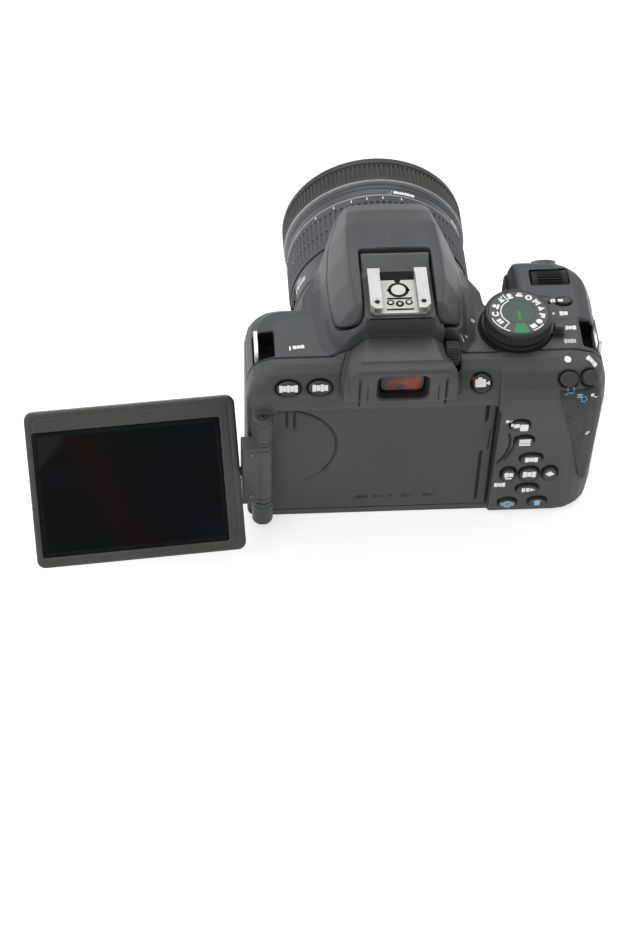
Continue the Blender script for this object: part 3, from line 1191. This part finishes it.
WHEEL_PROFILE = [       # radius, z, rib depth
    (0, 77.85), (5.0, 77.85), (5.0, 79.3), (11.6, 79.3), (12.0, 79.45), (12.25, 79.75),
    (12.4, 80.1, 0.05), (12.4, 80.3, 0.42), (12.4, 83.5, 0.42), (12.38, 83.8, 0.1),
    (12.3, 84.1), (12.1, 84.45), (11.8, 84.72), (11.5, 84.84), (11.25, 84.86), (11.1, 84.8),
    (11.0, 84.65), (10.9, 84.6), (0, 84.6)]
piece("mode_dial_wheel", revolve(WHEEL_PROFILE, dial_frame(0), ribs=64, closed=False), "dial",
      "mode_dial", 30, replaces=True)
PLATE_PROFILE = [
    (0, 84.4), (10.85, 84.4), (10.85, 84.68), (10.75, 84.76), (6.15, 84.76), (6.05, 84.68),
    (5.95, 84.68), (5.85, 84.76), (5.6, 84.82), (0, 84.86)]
piece("mode_dial_plate", revolve(PLATE_PROFILE, dial_frame(0), closed=False), "dial_top",
      "mode_dial", 30)
ICON_RADIUS = 8.55
ICONS = (               # degrees round the dial, shapes
    (-58, bar(0, 0, 2.3, 1.9, 0.2)),
    (-36, dot(0, 0, 1.15)),
    (-14, bar(-0.6, 0, 0.85, 2.3, 0.1) + bar(0.55, 0.4, 1.2, 1.4, 0.2)),
    (10, tri(0, 0, 1.5, 90)),
    (34, bar(-0.95, 0, 0.7, 2.2, 0.1) + bar(0.95, 0, 0.7, 2.2, 0.1)
     + bar(0, 0.2, 0.7, 1.5, 0.1)),
    (58, arc(0.6, 1.3, 0, 360)),
    (82, bar(0, 0, 2.5, 1.1, 0.1) + bar(0, 1.1, 1.5, 0.6, 0.1)),
    (106, dot(0, 0.45, 0.9) + bar(0, -0.9, 2.1, 0.8, 0.2)),
    (132, tri(0, -0.1, 1.55, 90) + dot(1.2, 0.9, 0.4)),
    (158, bar(0, -0.7, 2.4, 0.95, 0.2) + dot(0, 0.6, 0.8)),
    (184, arc(0.65, 1.35, 30, 330)),
    (212, bar(-0.65, 0, 1.05, 1.9, 0.2) + bar(0.7, 0, 1.05, 1.9, 0.2)))
marks = []
for degrees, icon in ICONS:
    marks += turn(icon, degrees - 90, ICON_RADIUS * cos(radians(degrees)),
                  ICON_RADIUS * sin(radians(degrees)))
marks += arc(6.3, 6.75, 118, 232) + arc(10.25, 10.7, 196, 246) + arc(10.25, 10.7, -66, -38)
for degrees in (118, 232):
    marks += turn(bar(8.45, 0, 3.9, 0.45, 0.05), degrees)
decal("mode_dial_marks", dial_frame(84.77), marks, "white", "mode_dial")
decal("mode_dial_green", dial_frame(84.77), arc(5.7, 10.75, -106, -74, 8), "green",
      "mode_dial", 0.045)
decal("mode_dial_centre", dial_frame(84.84), dot(0, 0, 5.55, 48), "dial_green", "mode_dial",
      0.03, 0.3)
decal("mode_dial_pointer", dial_frame(84.87),
      tri(0, -3.2, 1.3, -90) + bar(0, -1.0, 1.0, 3.0, 0.2), "green", "mode_dial", 0.02, 0.1)
piece("dial_collar_rim",
      revolve([(12.75, 77.65), (13.3, 77.62), (13.55, 77.3), (13.6, 76.9), (14.3, 76.75),
               (14.3, 76.2), (12.75, 76.2)], dial_frame(0), 120), "dark", "top_cover", 30)
lever_grip = dial_frame(80.9, radians(-12)) @ Matrix.Translation((0.01505, 0, -0.00008))
ribs = [p for k in range(4) for p in bar(-1.05 + 0.7 * k, 0, 0.3, 2.1, 0.1)]
decal("power_lever_ribs", lever_grip, ribs, "dial_top", "power_lever", 0.1, 0.4)

# ------------------------------------------------------------------ main dial, dioptre knob
# Both turn on axes along x: (radius, x, rib depth).
MAIN_DIAL_PROFILE = [
    (0, 52.8), (6.3, 52.8), (6.7, 52.95), (6.9, 53.3), (7.0, 53.7), (7.0, 54.2), (6.8, 54.4),
    (6.8, 54.7), (7.0, 55.0, 0.1), (7.0, 55.3, 0.75), (7.0, 64.1, 0.75), (7.0, 64.4, 0.1),
    (6.8, 64.7), (6.8, 65.0), (7.0, 65.2), (7.0, 65.7), (6.9, 66.1), (6.7, 66.45),
    (6.3, 66.6), (0, 66.6)]
piece("main_dial_wheel",
      revolve(MAIN_DIAL_PROFILE, basis((0, 47.0, 71.0), RIGHT), ribs=36, closed=False),
      "wheel_dark", "main_dial", 30, replaces=True)
KNOB_PROFILE = [
    (0, 16.4), (3.8, 16.4), (4.2, 16.6), (4.45, 17.0), (4.5, 17.3, 0.4), (4.5, 20.6, 0.4),
    (4.45, 20.9), (4.2, 21.3), (3.8, 21.5), (1.2, 21.5), (1.0, 21.3), (0, 21.3)]
piece("dioptre_wheel",
      revolve(KNOB_PROFILE, basis((0, 7.8, 78.2), RIGHT), ribs=28, closed=False),
      "dial", "dioptre_knob", 30, replaces=True)

# ------------------------------------------------------------------ accessory shoe
for name, shapes, material, lift in (
        ("floor", bar(0, 20.2, 17.6, 15.6, 0.6), "shoe_plate", 0.06),
        ("ring_dark", dot(0, 22.9, 3.75, 40) + bar(0, 22.9, 8.2, 1.3, 0.6), "dark_soft", 0.12),
        ("ring_bright", dot(0, 22.9, 2.6, 40), "shoe", 0.2),
        ("contacts_dark", dot(-3.3, 16.6, 1.35) + dot(0, 15.9, 1.5) + dot(3.3, 16.6, 1.35)
         + bar(0, 18.6, 9.0, 0.75, 0.2) + bar(0, 13.1, 9.8, 0.7, 0.2) + dot(0, 27.6, 1.1),
         "dark", 0.14),
        ("contacts", dot(-3.3, 16.6, 0.75) + dot(0, 15.9, 0.6) + dot(3.3, 16.6, 0.75),
         "shoe", 0.24)):
    decal("shoe_" + name, basis((0, 0, 95.9), UP), shapes, material, "hot_shoe", lift, 0.15)
for side, x in (("l", -8.3), ("r", 8.3)):
    screw_head("shoe_screw_" + side, (x, 14.6, 98.46), UP, 1.45, "hot_shoe", "dark_metal")
decal("shoe_front_block", basis((0, 30.3, 95.35), UP), bar(0, 0, 12.2, 5.6, 0.3), "dark",
      "top_cover", 0.05, 0.3)
# Gap under the shoe's rear edge and the line below it
decal("shoe_shadow_line", basis((0, 10.0, 94.35), BACK), bar(0, 0, 22.0, 0.7, 0.2), "dark",
      "top_cover", 0.06, 0.3, TOP_SURFACE)
decal("shoe_wall_line", basis((0, 10.0, 86.1), BACK), bar(0, 0, 24.4, 0.55, 0.2), "pale_edge",
      "top_cover", 0.08, 0.3, TOP_SURFACE)

# ------------------------------------------------------------------ eyepiece
# Frame sections: y, half width, bottom, top, corner radius
EYE_FRAME = [(-4.4, 8.66, 73.35, 83.95, 2.3), (-8.3, 9.1, 72.9, 84.4, 2.6),
             (-8.45, 8.8, 73.2, 84.1, 2.4), (-7.0, 8.35, 73.7, 83.6, 2.0),
             (-4.5, 8.2, 73.9, 83.4, 1.9)]
rows = [[point(x, y, z) for x, z in rounded_box(-half, half, low, high, r, 6)]
        for y, half, low, high, r in EYE_FRAME]
piece("eyepiece_inner_frame", loft(rows, closed=True), "inner", "eyepiece_lens", 40)


def eye_element(name, sections, replaces=False):
    """A lens bulging backward; sections are (y, scale of the outline)."""
    middle = 78.6
    outline = rounded_box(-8.9, 8.9, 73.2, 84.0, 2.2, 6)
    rows = [[point(x * s, y, middle + (z - middle) * s) for x, z in outline]
            for y, s in sections]
    piece(name, loft(rows, caps=True), "finder_glass", "eyepiece_lens", 50, replaces)


eye_element("eyepiece_window_element",
            [(-4.6, 0.93), (-6.3, 0.93), (-6.5, 0.9), (-6.62, 0.65), (-6.66, 0.3)])
eye_element("eyepiece_glass",
            [(1.5, 0.98), (-1.2, 0.985), (-1.45, 0.93), (-1.58, 0.7), (-1.62, 0.35)],
            replaces=True)

# ------------------------------------------------------------------ strap lugs
# Half of a loop's section: half width, half height, corner radius, distance from the
# middle plane, how far the outline is raised. The other half mirrors it.
LOOP = [(6.4, 4.95, 1.6, 0.5, 0.0), (6.2, 4.75, 1.5, 0.7, 0.0),
        (4.75, 2.1, 1.2, 0.7, 1.15), (4.6, 1.9, 1.1, 0.45, 1.15)]
for side, x, y in (("left", -51.2, 17.1), ("right", 73.9, 18.3)):
    m = basis((x, y, 72.65), RIGHT)
    rows = [[m @ (Vector((u, v, s * w)) * MM)
             for u, v in rounded_box(-half_width, half_width, raised - half_height,
                                     raised + half_height, r, 6)]
            for s, half_loop in ((-1, LOOP), (1, LOOP[::-1]))
            for half_width, half_height, r, w, raised in half_loop]
    piece("strap_loop_" + side, loft(rows, closed=True), "steel", "strap_lug_" + side, 35,
          replaces=True)

# ------------------------------------------------------------------ screen
SCREEN_FRAME = (Matrix.Translation(point(*HINGE))
                @ Matrix((SCREEN_ALONG, SCREEN_UP, SCREEN_OUT)).transposed().to_4x4())
WINDOW_WIDTH, WINDOW_HEIGHT = 68.3, 45.9
U0, V0 = 14.95, -24.75      # window corner nearest the hinge and lowest
U1, V1 = U0 + WINDOW_WIDTH, V0 + WINDOW_HEIGHT
rows = [[SCREEN_FRAME @ (Vector((u, v, w)) * MM)
         for u, v in rounded_box(U0 + inset, U1 - inset, V0 + inset, V1 - inset,
                                 1.2 - inset, 5)]
        for w, inset in ((2.3, 0.0), (3.15, 0.0), (3.28, 0.06), (3.35, 0.2))]
piece("lcd_window", loft(rows, caps=True), "display", "lcd_glass", 30, replaces=True)
MID_U, MID_V = (U0 + U1) / 2, (V0 + V1) / 2
mask = []
for cu, cv, width, height in ((MID_U, V1 - 1.0, 66.6, 1.1), (MID_U, V0 + 1.0, 66.6, 1.1),
                              (U0 + 1.0, MID_V, 1.1, 41.6), (U1 - 1.0, MID_V, 1.1, 41.6)):
    mask += bar(cu, cv, width, height, 0.3, step=90)
decal("lcd_mask", SCREEN_FRAME @ Matrix.Translation((0, 0, 3.36 * MM)), mask, "mask",
      "lcd_glass", 0.012, 0.1)
for i, (u, v) in enumerate(((10.6, 26.4), (83.9, 26.4), (10.6, -26.4), (83.9, -26.4))):
    screw_head(f"lcd_screw_{i}", on_screen(u, v, -3.42), -SCREEN_OUT, 0.9, "lcd_frame")
for i, z in enumerate((-11.5, 11.5)):
    at = HINGE + SCREEN_ALONG * 4.4 + HINGE_OUT * 3.22 + Vector((0, 0, z))
    screw_head(f"hinge_screw_{i}", at, HINGE_OUT, 1.0, "lcd_hinge_block")
for i, (z, normal) in enumerate(((3.55, DOWN), (60.68, UP))):
    screw_head(f"hinge_cap_{i}", (HINGE.x, HINGE.y, z), normal, 1.6, "rear_cover", "key")

# ------------------------------------------------------------------ flash window
PRISM_RIDGES, PRISM_DEPTH = 22, 0.00035     # depth in metres
lo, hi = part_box("flash_window")
rows = []
for k in range(2 * PRISM_RIDGES + 1):
    y = lo.y + (hi.y - lo.y) * k / (2 * PRISM_RIDGES)
    z = lo.z + (k % 2) * PRISM_DEPTH
    rows.append([(lo.x, y, hi.z), (lo.x, y, z), (hi.x, y, z), (hi.x, y, hi.z)])
piece("flash_prism", loft(rows, caps=True, flip_last=True), "flash_lens", "flash_window", 15,
      replaces=True)

# ------------------------------------------------------------------ base
profile = [(6.4, 0.05), (6.1, 0.02), (3.9, 0.02), (3.5, 0.35)]
profile += [(3.3 + 0.35 * (k % 2), 0.5 + 0.45 * k) for k in range(13)]
profile += [(3.3, 6.6), (0, 6.6), (0, 8.6), (6.4, 8.6)]
piece("tripod_thread", revolve(profile, basis((0, 19.0, 0), UP), 64, closed=False), "screw",
      "tripod_socket", 30, replaces=True)
for i, (x, y) in enumerate(((-47.5, 7.5), (-47.5, 33.0), (-18.0, 33.5), (-18.0, 5.0),
                            (24.0, 5.0), (24.0, 35.5), (46.0, 8.0))):
    screw_head(f"base_screw_{i}", (x, y, 0.02), DOWN, 1.5, "bottom_cover")
for k in range(7):
    decal(f"base_pad_{k}", basis((-31.5, 12.0 + 2.4 * k, 0.0), DOWN),
          bar(0, 0, 20.0, 1.3, 0.4), "inner", "bottom_cover", 0.08, 0.3)


# ------------------------------------------------------------------ front and side details
def dome_lens(name, at, r, height, material, node):
    """A small domed window facing forward, with a dark rim."""
    m = basis(at, FORWARD)
    dome = [(0, height)]
    dome += [(r * sin(radians(9 * k)), height * cos(radians(9 * k))) for k in range(1, 11)]
    dome += [(r, -0.8), (0, -0.8)]
    piece(name, revolve(dome, m, 40, closed=False), material, node, 40)
    rim = [(r, -0.6), (r + 0.05, 0.12), (r + 0.3, 0.2), (r + 0.55, 0.1), (r + 0.6, -0.6)]
    piece(name + "_rim", revolve(rim, m, 40), "dark", node, 40)


dome_lens("focus_lamp", (39.6, 40.0, 58.5), 2.3, 0.35, "amber", "front_cover")
dome_lens("remote_window", (60.6, 61.0, 61.6), 1.9, 0.25, "red_glass", "grip_rubber")
holes = [p for a in range(3) for b in range(2) for p in dot(-31.0 - 1.5 * a, 1.5 * b, 0.38, 12)]
decal("microphone_holes", basis((0, 40.0, 62.0), FORWARD), holes, "dark", "front_cover",
      0.03, 0.4, FRONT_SURFACE)
decal("mount_dot_red", basis((0, 60.0, 76.0), FORWARD), dot(0, 0.0, 0.9), "red",
      "front_cover", 0.05, 0.3, FRONT_SURFACE)
decal("mount_square_white", basis((0, 60.0, LENS_HEIGHT), FORWARD),
      turn(bar(0, 35.5, 1.3, 1.3, 0.1), 28), "white", "front_cover", 0.05, 0.3, FRONT_SURFACE)
holes = [p for a in range(4) for b in range(3)
         for p in dot(1.6 * a - 2.4, 1.6 * b - 1.6, 0.42, 12)]
decal("speaker_holes", basis((-55.1, 33.0, 56.0), LEFT), holes, "dark", "front_cover",
      0.03, 0.4, BODY_SURFACE)
decal("terminal_marks", basis((-55.1, 21.2, 35.0), LEFT),
      bar(0, 1.6, 3.4, 0.6, 0.1) + tri(0, -0.6, 0.9, 90) + dot(0, -2.4, 0.45), "soft_white",
      "terminal_cover", 0.04, 0.2, surface_of(SKINS["terminal_cover"]))
decal("card_mark", basis((76.8, 10.3, 26.4), RIGHT),
      tri(0, 0, 0.9, 180) + bar(1.6, 0, 1.4, 1.4, 0.1), "soft_white", "card_door", 0.04, 0.2,
      surface_of(SKINS["card_door"]))

# ------------------------------------------------------------------ stage (metres)
floor_mesh = bpy.data.meshes.new("floor")
bm = bmesh.new()
bmesh.ops.create_grid(bm, x_segments=2, y_segments=2, size=6.0)
bm.to_mesh(floor_mesh)
bm.free()
floor = bpy.data.objects.new("floor", floor_mesh)
bpy.context.scene.collection.objects.link(floor)
floor.location = (0, 0, CAD_LO.z - 0.0001)
g = Graph("floor_paper")
floor_mesh.materials.append(g.finish(
    Base_Color=g.mix(g.noise(3.0, detail=3.0), (0.60, 0.60, 0.61), (0.64, 0.64, 0.65)),
    Emission_Color=(1.0, 1.0, 1.0), Emission_Strength=0.62, Roughness=0.9,
    Specular_IOR_Level=0.1, Normal=g.bump(g.noise(300.0, detail=3.0), 0.0001)))

# ------------------------------------------------------------------ light (metres, watts)
world = bpy.data.worlds.new("studio")
bpy.context.scene.world = world
world.use_nodes = True
background = world.node_tree.nodes["Background"]
background.inputs["Color"].default_value = (1.0, 1.0, 1.0, 1.0)
background.inputs["Strength"].default_value = 0.6


def soft_light(name, where, at, size, power):
    light = bpy.data.lights.new(name, "AREA")
    light.shape = "RECTANGLE"
    light.size, light.size_y = size
    light.energy = power
    ob = bpy.data.objects.new(name, light)
    bpy.context.scene.collection.objects.link(ob)
    ob.location = where
    ob.rotation_euler = (Vector(at) - Vector(where)).to_track_quat("-Z", "Y").to_euler()


soft_light("key_light", where=(0.05, 0.75, 1.25), at=(0, 0.0, 0.04), size=(1.5, 1.0), power=13)
soft_light("fill_light", where=(-0.8, -0.6, 1.0), at=(0, 0, 0.04), size=(0.9, 0.9), power=5)
soft_light("side_light", where=(0.95, 0.30, 0.45), at=(0.05, 0.02, 0.05), size=(0.8, 0.8),
           power=1.9)
soft_light("lens_light", where=(-0.95, 0.35, 0.50), at=(0.0, 0.08, 0.05), size=(0.8, 0.8),
           power=3)

# ------------------------------------------------------------------ camera
view = Vector((0.054, 0.656, -0.7528)).normalized()
view_right = view.cross(Vector((0.0306, 0.7525, 0.6579))).normalized()
view_up = view_right.cross(view).normalized()
camera = bpy.data.objects.new("camera", bpy.data.cameras.new("camera"))
bpy.context.scene.collection.objects.link(camera)
camera.matrix_world = (Matrix.Translation(point(-73.867, -515.52, 619.779))
                       @ Matrix((view_right, view_up, -view)).transposed().to_4x4())
camera.data.sensor_width = 36.0
camera.data.sensor_fit = "AUTO"
camera.data.lens = 81.203008
camera.data.clip_start, camera.data.clip_end = 0.02, 60.0
bpy.context.scene.camera = camera
bpy.context.scene.view_settings.view_transform = "Standard"
